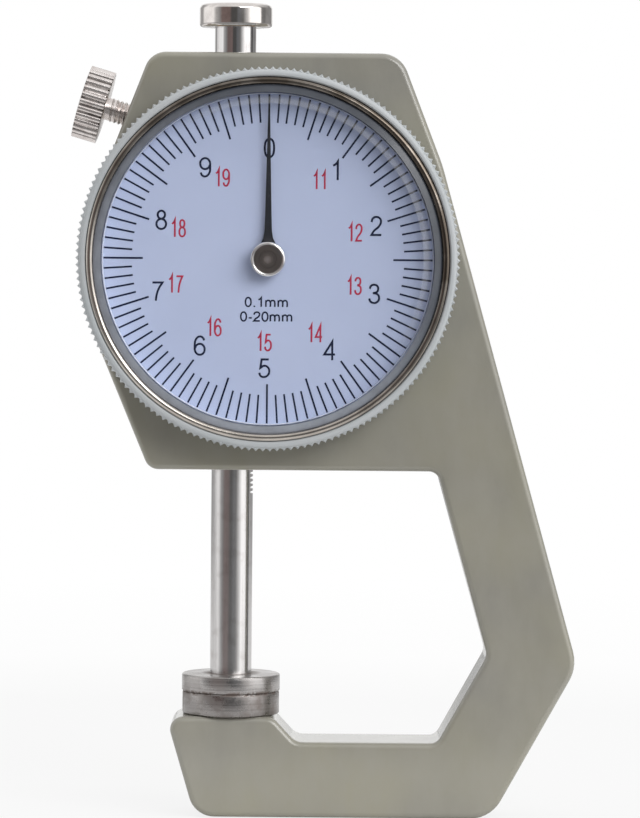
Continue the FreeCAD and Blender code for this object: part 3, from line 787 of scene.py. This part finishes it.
# ---- Trim ring -----------------------------------------------------------------------
# A thin bright ring that is pressed into the bezel's front and holds the crystal down by
# its bevelled edge. Spun from nickel-plated brass with a rounded crown; its colour carries
# painted shade, darker towards the upper right and lighter to the lower left.
trim_profile = [
    (18.16, -8.1), (18.02, -9.5), (17.98, -9.68), (18.0, -9.75), (18.06, -9.82),
    (18.14, -9.88), (18.24, -9.93), (18.34, -9.95), (18.44, -9.93), (18.54, -9.88),
    (18.62, -9.82), (18.68, -9.75), (18.7, -9.68), (18.7, -8.1),
]
trim_light, trim_dull_and_shaded = (0.62, 0.57, 0.52, 1), (0.12, 0.10, 0.082, 1)

trim = turned("bright_trim_ring", trim_profile, dial_axis, outward, ring_steps)
smooth(trim, 50)
trim_nickel = Finish("trim_nickel")
spot = trim_nickel.place()
haze_and_painted_light = trim_nickel.noise(spot, 260.0, 4.0, 0.6)
x, _, z = trim_nickel.axes(spot)
# Painted shade: the colour darkens towards the upper right and lightens to the lower left,
# in place of the reflections that fall there. The random dull patches come from the haze
# noise.
tarnish_and_painted_shade = trim_nickel.fade(x * 0.6 + (z - dial_z * mm) * 0.8, -0.014, 0.012) * 0.75
dull = trim_nickel.fade(haze_and_painted_light, 0.4, 0.65, 0.0, 0.35)
trim_nickel.surface(
    Base_Color=trim_nickel.mix(dull + tarnish_and_painted_shade, trim_light, trim_dull_and_shaded),
    Metallic=1.0,
    Roughness=0.14 + haze_and_painted_light * 0.12,
    Normal=trim_nickel.bump(haze_and_painted_light, 0.1, 0.0001),
)
trim.data.materials.append(trim_nickel.owner)
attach(trim, "bezel")
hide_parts("trim_ring")


# ---- Dial ----------------------------------------------------------------------------
# A thin round plate in pale blue enamel, printed in black with 100 lines and the figures
# 0 to 9, and in red with 11 to 19 for the second turn. It sits on the bezel's ledge.
dial_face, dial_back = dial_low.y / mm, dial_high.y / mm
dial_r = (dial_high.x - dial_low.x) / 2 / mm
dial_hole_r, dial_edge = 1.2, 0.04
print_lift = 0.012
mark_outer, long_mark_inner, short_mark_inner = 16.99, 12.93, 14.06
enamel_deep, enamel_light = (0.425, 0.485, 0.665, 1), (0.45, 0.51, 0.69, 1)

dial = turned(
    "dial_face",
    [
        (dial_hole_r, dial_back), (dial_r, dial_back), (dial_r, dial_face + dial_edge),
        (dial_r - dial_edge, dial_face), (dial_hole_r + dial_edge, dial_face),
        (dial_hole_r, dial_face + dial_edge),
    ],
    dial_axis,
    outward,
    housing_sides,
)
smooth(dial, 30)
enamel = Finish("pale_blue_enamel")
spot = enamel.place()
wash = enamel.noise(spot, 60.0, 3.0, 0.5)
peel = enamel.noise(spot, 1500.0, 2.0, 0.5)
enamel.surface(
    Base_Color=enamel.mix(enamel.fade(wash, 0.35, 0.65), enamel_deep, enamel_light),
    Roughness=0.40 + peel * 0.08,
    IOR=1.45,
    Normal=enamel.bump(peel, 0.08, 0.00004),
)
dial.data.materials.append(enamel.owner)
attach(dial, "bezel")
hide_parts("dial_plate")


def ink_finish(name, colour, worn_colour):
    """Printing ink, very slightly broken by the enamel under it."""
    ink = Finish(name)
    spot = ink.place()
    thin = ink.fade(ink.noise(spot, 2200.0, 3.0, 0.6), 0.55, 0.8)
    ink.surface(
        Base_Color=ink.mix(thin * 0.35, colour, worn_colour),
        Roughness=ink.fade(thin, 0.0, 1.0, 0.5, 0.6),
        Specular_IOR_Level=0.15,
        IOR=1.45,
    )
    return ink.owner


black_ink = ink_finish("black_ink", (0.007, 0.012, 0.040, 1), (0.02, 0.03, 0.075, 1))
red_ink = ink_finish("red_ink", (0.46, 0.03, 0.07, 1), (0.52, 0.09, 0.15, 1))


def dial_marks(name, count, skip, inner, width):
    """Radial lines: the first is drawn at the top and copied round the dial. With skip,
    every so many-th line is left out."""
    clear_selection()
    bpy.ops.mesh.primitive_cube_add(size=1.0)
    marks = name_piece(name)
    for vertex in marks.data.vertices:
        vertex.co = Vector((
            (dial_x + vertex.co.x * width) * mm,
            (dial_face + (vertex.co.y - 0.5) * print_lift) * mm,
            (dial_z + (mark_outer if vertex.co.z > 0 else inner)) * mm,
        ))
    pick(marks, lambda face: True)
    copy_round(count, dial_axis, outward)
    close_edit()
    if skip:

        def at_skipped_line(vertex):
            across = vertex.co / mm - Vector(dial_axis)
            line = math.atan2(across.x, across.z) / (2 * math.pi / count)
            return round(line) % skip == 0

        pick(marks, at_skipped_line, "VERT")
        bpy.ops.mesh.delete(type="VERT")
        close_edit()
    return marks


black_parts = [
    dial_marks("long_marks", 20, 0, long_mark_inner, 0.2),
    dial_marks("short_marks", 100, 5, short_mark_inner, 0.19),
]


# Single-line figures, as an engraver's template has them: each stroke is a list of
# (x, z) on a cell one unit high, with True for a sharp corner, and whether it closes.
figure_cell, other_cells = 0.70, {".": 0.36, "-": 0.44, "m": 1.06}
figure_strokes = {
    "0": [([(0.31, 0.97), (0.07, 0.5), (0.31, 0.03), (0.55, 0.5)], True)],
    "1": [([(0.13, 0.74), (0.27, 0.83), (0.37, 0.97, True), (0.37, 0.0, True)], False)],
    "2": [([(0.06, 0.70), (0.13, 0.89), (0.31, 0.97), (0.50, 0.88), (0.54, 0.70),
            (0.44, 0.48), (0.20, 0.26), (0.06, 0.04, True), (0.57, 0.04, True)], False)],
    "3": [([(0.07, 0.76), (0.15, 0.92), (0.30, 0.97), (0.46, 0.91), (0.51, 0.74),
            (0.43, 0.59), (0.24, 0.54, True)], False),
          ([(0.24, 0.54, True), (0.47, 0.48), (0.56, 0.29), (0.48, 0.10), (0.29, 0.03),
            (0.12, 0.10), (0.05, 0.26)], False)],
    "4": [([(0.44, 0.0, True), (0.44, 0.96, True), (0.03, 0.30, True),
            (0.59, 0.30, True)], False)],
    "5": [([(0.54, 0.94, True), (0.17, 0.94, True), (0.11, 0.50, True), (0.30, 0.61),
            (0.49, 0.54), (0.57, 0.33), (0.48, 0.11), (0.29, 0.03), (0.12, 0.09),
            (0.05, 0.25)], False)],
    "6": [([(0.55, 0.77), (0.46, 0.92), (0.31, 0.97), (0.13, 0.84), (0.06, 0.47),
            (0.12, 0.14), (0.31, 0.03), (0.50, 0.11), (0.57, 0.31), (0.50, 0.51),
            (0.33, 0.59), (0.15, 0.52), (0.07, 0.36)], False)],
    "7": [([(0.05, 0.94, True), (0.57, 0.94, True), (0.39, 0.65), (0.28, 0.34),
            (0.23, 0.0)], False)],
    "8": [([(0.31, 0.97), (0.12, 0.77), (0.31, 0.56), (0.50, 0.77)], True),
          ([(0.31, 0.55), (0.06, 0.29), (0.31, 0.03), (0.56, 0.29)], True)],
    "9": [([(0.07, 0.23), (0.16, 0.08), (0.31, 0.03), (0.49, 0.16), (0.56, 0.53),
            (0.50, 0.86), (0.31, 0.97), (0.12, 0.89), (0.05, 0.69), (0.12, 0.49),
            (0.29, 0.41), (0.47, 0.48), (0.55, 0.64)], False)],
    ".": [([(0.14, -0.04, True), (0.14, 0.12, True)], False)],
    "-": [([(0.05, 0.36, True), (0.32, 0.36, True)], False)],
    "m": [([(0.07, 0.0, True), (0.07, 0.70, True)], False),
          ([(0.07, 0.46, True), (0.14, 0.62), (0.27, 0.68), (0.40, 0.62), (0.45, 0.46),
            (0.45, 0.0, True)], False),
          ([(0.45, 0.46, True), (0.52, 0.62), (0.65, 0.68), (0.78, 0.62), (0.83, 0.46),
            (0.83, 0.0, True)], False)],
}


def printed(name, words, height, width, centre_x, centre_z, weight):
    """A word printed on the dial: its cell's height, its share of the full width, its
    middle's place from the dial's axis, and the line's thickness."""
    line = bpy.data.curves.new(name, "CURVE")
    line.dimensions = "2D"
    line.resolution_u = 8
    line.bevel_depth = weight / 2 * mm
    line.bevel_resolution = 1
    line.fill_mode = "NONE"
    line.use_fill_caps = True
    cells = [other_cells.get(letter, figure_cell) for letter in words]
    start = -(sum(cells) - 0.08) / 2
    for letter, cell in zip(words, cells):
        for stroke, closed in figure_strokes[letter]:
            spline = line.splines.new("BEZIER")
            spline.bezier_points.add(len(stroke) - 1)
            spline.use_cyclic_u = closed
            for knot, (x, z, *sharp) in zip(spline.bezier_points, stroke):
                knot.co = ((start + x) * height * width * mm, (z - 0.5) * height * mm, 0)
                kind = "VECTOR" if sharp else "AUTO"
                knot.handle_left_type = knot.handle_right_type = kind
        start += cell
    text = bpy.data.objects.new(name, line)
    bpy.context.scene.collection.objects.link(text)
    choose(text)
    bpy.ops.object.convert(target="MESH")
    mark = name_piece(name)
    mark.scale.z = print_lift / weight
    mark.rotation_euler.x = math.pi / 2
    mark.location = (
        (dial_x + centre_x) * mm,
        (dial_face - print_lift / 2) * mm,
        (dial_z + centre_z) * mm,
    )
    settle(mark)
    return mark


figure_places = {
    "0": (0.05, 11.45), "1": (7.0, 9.2), "2": (11.15, 3.5), "3": (11.0, -3.5),
    "4": (6.45, -9.4), "5": (-0.3, -11.25), "6": (-7.0, -9.0), "7": (-11.4, -3.4),
    "8": (-11.05, 3.95), "9": (-6.55, 9.4),
}
red_places = {
    "11": (5.3, 8.15), "12": (8.95, 2.8), "13": (8.9, -2.7), "14": (4.9, -7.65),
    "15": (-0.35, -8.6), "16": (-5.55, -7.1), "17": (-9.55, -2.65), "18": (-9.3, 3.1),
    "19": (-4.8, 8.35),
}
for word, (x, z) in figure_places.items():
    black_parts.append(printed("figure_" + word, word, 2.0, 1.0, x, z, 0.22))
red_parts = [
    printed("red_" + word, word, 1.8, 0.66, x, z, 0.19)
    for word, (x, z) in red_places.items()
]
for name, words, z in (("legend_step", "0.1mm", -4.45), ("legend_range", "0-20mm", -5.95)):
    black_parts.append(printed(name, words, 0.97, 1.24, -0.1, z, 0.17))
for name, parts, ink in (
    ("black_printing", black_parts, black_ink), ("red_printing", red_parts, red_ink)
):
    join(parts)
    printing = name_piece(name)
    printing.data.materials.clear()
    printing.data.materials.append(ink)
    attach(printing, "bezel")


# ---- Pointer and hub -----------------------------------------------------------------
# The hand is stamped from thin steel and blackened. Its hub is a small turned boss with
# a bright raised rim, a darker recessed face, and a centre mark left by the lathe.
hub_hole_r, hub_hole_floor = 0.46, 0.39
hand_outline = [
    (0.0, 0.0), (-1.25, 0.9), (-0.72, 1.72), (-0.5, 2.2), (-0.39, 2.9), (-0.33, 4.6),
    (-0.07, 16.72), (0.0, 16.8), (0.07, 16.72), (0.33, 4.6), (0.39, 2.9), (0.5, 2.2),
    (0.72, 1.72), (1.25, 0.9),
]
hand_eye_r, hand_hole_r = 1.6, 0.47
rim_nickel, centre_nickel = (0.80, 0.78, 0.77, 1), (0.62, 0.55, 0.52, 1)
recess_dark, recess_light = (0.085, 0.072, 0.066, 1), (0.27, 0.235, 0.22, 1)
black_deep, black_worn = (0.016, 0.017, 0.022, 1), (0.035, 0.036, 0.042, 1)


def from_dial_axis(finish, spot):
    """How far to the right of the dial's axis, how far above it, and how far from it."""
    x, _, z = finish.axes(spot)
    x, z = x - dial_x * mm, z - dial_z * mm
    return x, z, finish.root(x * x + z * z)


hub_low, hub_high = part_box("pointer_hub")
hub_front, hub_back = hub_low.y / mm, hub_high.y / mm
hub_face_profile = [  # radius, and depth behind the hub's front
    (1.8, 0.2), (1.76, 0.08), (1.68, 0.02), (1.6, 0.0), (1.51, 0.03), (1.46, 0.09),
    (1.45, 0.15), (0.95, 0.15), (0.92, 0.19), (0.86, 0.19), (0.83, 0.15), (0.52, 0.15),
    (0.49, 0.19), (0.43, 0.19), (0.4, 0.15), (0.28, 0.15), (0.0, 0.22),
    (0.0, hub_hole_floor), (hub_hole_r, hub_hole_floor),
]
hub = turned(
    "pointer_boss",
    [(hub_hole_r, hub_back), (1.72, hub_back), (1.8, hub_back - 0.1)]
    + [(r, hub_front + depth) for r, depth in hub_face_profile],
    dial_axis,
    outward,
    small_lathe_steps,
)
smooth(hub, 25)
boss = Finish("turned_boss_nickel")
_, _, reach = from_dial_axis(boss, boss.place())
rings = boss.node(
    "TexNoise", {"noise_dimensions": "1D"}, {"W": reach, "Scale": 26000.0, "Detail": 2.0}
)
inside = boss.fade(reach, 0.00144, 0.00147, 1.0, 0.0)
recess = boss.mix(boss.fade(rings, 0.35, 0.65), recess_dark, recess_light)
recess = boss.mix(boss.fade(reach, 0.0001, 0.0007, 0.5, 0.0), recess, centre_nickel)
boss.surface(
    Base_Color=boss.mix(inside, rim_nickel, recess),
    Metallic=1.0,
    Roughness=0.14 + inside * 0.16,
    Normal=boss.bump(rings, 0.2, 0.00002),
)
hub.data.materials.append(boss.owner)
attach(hub, "pointer")
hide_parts("pointer_hub")

pointer_low, pointer_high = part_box("pointer")
hand_back, hand_front = pointer_high.y / mm, pointer_low.y / mm
clear_selection()
bpy.ops.mesh.primitive_circle_add(vertices=len(hand_outline), fill_type="NGON")
hand = name_piece("pointer_hand")
for vertex, (x, z) in zip(hand.data.vertices, hand_outline):
    vertex.co = ((dial_x + x) * mm, hand_front * mm, (dial_z + z) * mm)
pick(hand, lambda face: True)
extrude((0, (hand_back - hand_front) * mm, 0))
face_outwards()
cut(hand, dial_bar(hand_eye_r, hand_front, hand_back, 48), "UNION")
cut(hand, dial_bar(hand_hole_r, hand_front - 1, hand_back + 1, 32))
round_edges(hand, 0.03, 2)

blacking = Finish("pointer_blacking")
rub = blacking.noise(blacking.place(), 1600.0, 3.0, 0.6)
blacking.surface(
    Base_Color=blacking.mix(blacking.fade(rub, 0.5, 0.8), black_deep, black_worn),
    Roughness=0.42 + rub * 0.1,
    Specular_IOR_Level=0.12,
)
hand.data.materials.append(blacking.owner)
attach(hand, "pointer")
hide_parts("pointer")


# ---- Crystal -------------------------------------------------------------------------
# The clear acrylic cup over the dial, with a bevelled front edge. Its rim stands on the
# dial just outside the lines, and its scuffed edge shows as a mottled grey ring. The
# ring's grey is painted light, darker to the upper right and lighter to the lower left,
# in place of what the bevel reflects and refracts; a faint painted glare also lightens
# the front just inside the lines at the upper right.
bevel_inner_r, bevel_outer_r, bevel_depth = 17.15, 17.93, 0.46
cup_wall_r, cup_depth, rim_lift = 17.05, 1.1, 0.01
crystal_steps = 360
acrylic_ior = 1.49
painted_glare_colour = (0.80, 0.82, 0.86, 1)
edge_painted_shade, edge_painted_light = (0.06, 0.068, 0.085, 1), (0.36, 0.39, 0.45, 1)
wall_deep, wall_light = (0.74, 0.78, 0.86, 1), (0.86, 0.88, 0.93, 1)
white = (1.0, 1.0, 1.0, 1)

crystal_low, crystal_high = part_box("crystal")
crystal_front, crystal_back = crystal_low.y / mm, crystal_high.y / mm
crystal = turned(
    "clear_crystal",
    [
        (0, crystal_front), (bevel_inner_r, crystal_front),
        (bevel_outer_r, crystal_front + bevel_depth), (17.98, crystal_front + 0.6),
        (dial_r, crystal_front + 1.9), (dial_r, crystal_back - rim_lift),
        (cup_wall_r, crystal_back - rim_lift), (cup_wall_r, crystal_front + cup_depth),
        (0, crystal_front + cup_depth),
    ],
    dial_axis,
    outward,
    crystal_steps,
)
smooth(crystal, 25)

acrylic = Finish("clear_acrylic")
spot = acrylic.place()
glass = acrylic.principled(
    Base_Color=white,
    Roughness=0.015,
    IOR=acrylic_ior,
    Transmission_Weight=1.0,
    Normal=acrylic.bump(acrylic.noise(spot, 700.0, 3.0, 0.6), 0.02, 0.00002),
)
x, z, reach = from_dial_axis(acrylic, spot)
# Painted glare: a light grey film is mixed into the clear acrylic in a thin ring at the
# upper right, in place of the crystal's reflected light there.
ring = acrylic.fade(reach, 0.0159, 0.0161) * acrylic.fade(reach, 0.0164, 0.0168, 1.0, 0.0)
high_right = acrylic.fade(x * 0.7 + z * 0.7, 0.002, 0.012)
painted_glare = acrylic.principled(Base_Color=painted_glare_colour, Roughness=0.4)
glass = acrylic.shader_mix(ring * high_right * 0.09, glass, painted_glare)
clear = acrylic.node("BsdfTransparent", inputs={"Color": white})
acrylic.finish_with(acrylic.shader_mix(acrylic.ray("Shadow"), glass, clear))

rim_acrylic = Finish("scuffed_edge_with_painted_light")
spot = rim_acrylic.place()
scuff = rim_acrylic.noise(spot, 520.0, 4.0, 0.65)
x, _, z = rim_acrylic.axes(spot)
# Painted light: the bevel's colour runs from dark at the upper right to light at the lower
# left, in place of its reflections and refraction; the scuff noise over it is real
# mottling.
lower_left_painted_light = rim_acrylic.fade(x * -0.6 - (z - dial_z * mm) * 0.8, -0.012, 0.014)
haze_and_painted_light = rim_acrylic.mix(lower_left_painted_light, edge_painted_shade, edge_painted_light)
frosted = rim_acrylic.principled(
    Base_Color=rim_acrylic.dark(haze_and_painted_light, rim_acrylic.fade(scuff, 0.3, 0.7, 0.85, 1.15)),
    Roughness=0.14 + scuff * 0.16,
    IOR=acrylic_ior,
    Normal=rim_acrylic.bump(scuff, 0.15, 0.0001),
)
clear = rim_acrylic.node("BsdfTransparent", inputs={"Color": white})
let_through = rim_acrylic.ray("Shadow") * 0.85
rim_acrylic.finish_with(rim_acrylic.shader_mix(let_through, frosted, clear))

wall_acrylic = Finish("light_catching_acrylic_wall")
streak = wall_acrylic.noise(wall_acrylic.place(), 380.0, 3.0, 0.6)
wall_acrylic.surface(
    Base_Color=wall_acrylic.mix(streak, wall_deep, wall_light),
    Roughness=0.25 + streak * 0.2,
    IOR=acrylic_ior,
)
for finish in (acrylic, rim_acrylic, wall_acrylic):
    crystal.data.materials.append(finish.owner)
for face in crystal.data.polygons:
    off_axis = Vector((face.center.x, 0, face.center.z)) / mm - Vector(dial_axis)
    if off_axis.length > bevel_inner_r - 0.03 and face.normal.y < -0.2:
        face.material_index = 1
    elif abs(off_axis.length - (cup_wall_r - 0.05)) < 0.1 and abs(face.normal.y) < 0.5:
        face.material_index = 2
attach(crystal, "bezel")
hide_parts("crystal")


# ---- Movement inside the housing -----------------------------------------------------
# The pieces that the dial covers keep their CAD shapes: brass and bronze bearings, the
# bridge, the pinion's arbor, the guide pin, and the spring that returns the spindle.
def metal_finish(name, light, deep, rough):
    metal = Finish(name)
    spot = metal.place()
    cloud = metal.noise(spot, 800.0, 4.0, 0.6)
    metal.surface(
        Base_Color=metal.mix(metal.fade(cloud, 0.35, 0.65), light, deep),
        Metallic=1.0,
        Roughness=rough + cloud * 0.12,
        Normal=metal.bump(cloud, 0.15, 0.00004),
    )
    return metal.owner


metal_tones = {
    "yellow_brass": ((0.70, 0.50, 0.24, 1), (0.58, 0.40, 0.18, 1), 0.24),
    "bearing_bronze": ((0.55, 0.34, 0.18, 1), (0.44, 0.26, 0.13, 1), 0.32),
    "spring_steel": ((0.42, 0.42, 0.43, 1), (0.32, 0.32, 0.34, 1), 0.26),
    "works_steel": ((0.60, 0.59, 0.58, 1), (0.50, 0.49, 0.48, 1), 0.22),
}
brass, bronze, spring_steel, works_steel = [
    metal_finish(name, *tones) for name, tones in metal_tones.items()
]
node_finishes = {
    "upper_bush": bronze, "lower_bush": bronze, "arbor_rear_bush": brass,
    "arbor_front_bush": brass, "bridge_plate": brass, "bridge_screws": works_steel,
    "spring_post": works_steel, "return_spring": spring_steel, "guide_pin": works_steel,
    "arbor": works_steel, "lock_pad": brass,
}
for node, finish in node_finishes.items():
    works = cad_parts[node]
    if not works.material_slots:
        works.data.materials.append(finish)
    for place in works.material_slots:
        place.material = finish


# ---- Studio --------------------------------------------------------------------------
# A white table, in a room that is dark on the viewer's side, bright to the left and
# right and grey behind, with one large softbox hung at the front right. The camera
# stands before the dial and sees the room itself as white.
table_r, table_front, table_drop = 1.0, -0.06, 0.0001
table_deep, table_light = (0.86, 0.86, 0.86, 1), (0.88, 0.88, 0.88, 1)
near_glow, mirror_grey = (0.965, 0.965, 0.965, 1), (0.40, 0.40, 0.40, 1)
brown_wall, blue_wall = (0.20, 0.152, 0.145, 1), (0.155, 0.162, 0.175, 1)
ceiling_grey, ground_grey = (0.9, 0.9, 0.9, 1), (0.30, 0.30, 0.30, 1)
wall_levels = [  # degrees to the right of the viewer, and how bright the wall is there
    (-180, 1.0), (-158, 1.0), (-148, 0.40), (-128, 0.40), (-118, 1.0), (-76, 1.15),
    (-66, 0.50), (-52, 0.28), (-44, brown_wall), (-18, brown_wall), (-13, 0.09),
    (3, 0.09), (8, blue_wall), (24, 0.18), (38, 0.72), (50, 1.6), (84, 1.65), (90, 0.25),
    (104, 0.20), (112, 0.30), (148, 0.30), (158, 1.0), (180, 1.0),
]
lamp_place, lamp_target = Vector((0.52, -0.72, 0.50)), Vector((0, 0, 0.045))
lamp_width, lamp_height, lamp_power = 0.75, 0.45, 4.6
view_place, view_down, view_roll = (0.00913, -0.464, 0.0622), 2.424, 0.5
view_lens, view_sensor = 194.7, 36.0

clear_selection()
bpy.ops.mesh.primitive_circle_add(
    vertices=96, radius=table_r, fill_type="NGON",
    location=(0, table_r + table_front, -table_drop),
)
table = name_piece("studio_table")
settle(table)
top = Finish("table_white")
spot = top.place()
x, y, _ = top.axes(spot)
far = top.root(x * x + y * y)
lit = top.principled(
    Base_Color=top.mix(top.noise(spot, 3.0, 2.0, 0.4), table_deep, table_light),
    Roughness=0.9,
    Specular_IOR_Level=0.0,
)
glow_colour = top.mix(top.fade(far, 0.11, 0.17), near_glow, white)
glow = top.node("Emission", inputs={"Color": glow_colour})
shown = top.ray("Camera") * top.fade(far, 0.11, 0.3, 0.86, 1.0)
mirrored = top.ray("Glossy") * top.fade(far, 0.25, 0.4)
dim = top.node("Emission", inputs={"Color": mirror_grey})
top.finish_with(top.shader_mix(mirrored, top.shader_mix(shown, lit, glow), dim))
table.data.materials.append(top.owner)

room = Finish("studio_room", world=True)
x, y, z = room.axes(room.node("TexCoord", out="Generated"))
turn = room.node("Math", {"operation": "ARCTAN2"}, {0: x, 1: 0 - y}) / (2 * math.pi) + 0.5
stops = [
    ((angle + 180) / 360, level if isinstance(level, tuple) else (level, level, level, 1))
    for angle, level in wall_levels
]
walls = room.node("ValToRGB", {"stops": stops}, {0: turn})
sky = room.mix(room.fade(z, 0.35, 0.8), walls, ceiling_grey)
sky = room.mix(room.fade(z, -0.25, -0.05, 1.0, 0.0), sky, ground_grey)
lighting = room.node("Background", inputs={"Color": sky})
seen = room.node("Background", inputs={"Color": white})
room.finish_with(room.shader_mix(room.ray("Camera"), lighting, seen))
bpy.context.scene.world = room.owner

light = bpy.data.lights.new("front_soft", "AREA")
light.shape = "RECTANGLE"
light.size, light.size_y = lamp_width, lamp_height
light.energy = lamp_power
lamp = bpy.data.objects.new("front_soft", light)
lamp.location = lamp_place
lamp.rotation_euler = (lamp_target - lamp_place).to_track_quat("-Z", "Y").to_euler()
bpy.context.scene.collection.objects.link(lamp)

view = bpy.data.cameras.new("view")
view.lens = view_lens
view.sensor_width = view_sensor
view.clip_start, view.clip_end = 0.01, 20.0
camera = bpy.data.objects.new("view", view)
camera.matrix_world = (
    Matrix.Translation(view_place)
    @ Matrix.Rotation(math.radians(90 - view_down), 4, "X")
    @ Matrix.Rotation(math.radians(view_roll), 4, "Z")
)
bpy.context.scene.collection.objects.link(camera)
bpy.context.scene.camera = camera
bpy.context.scene.view_settings.view_transform = "Standard"
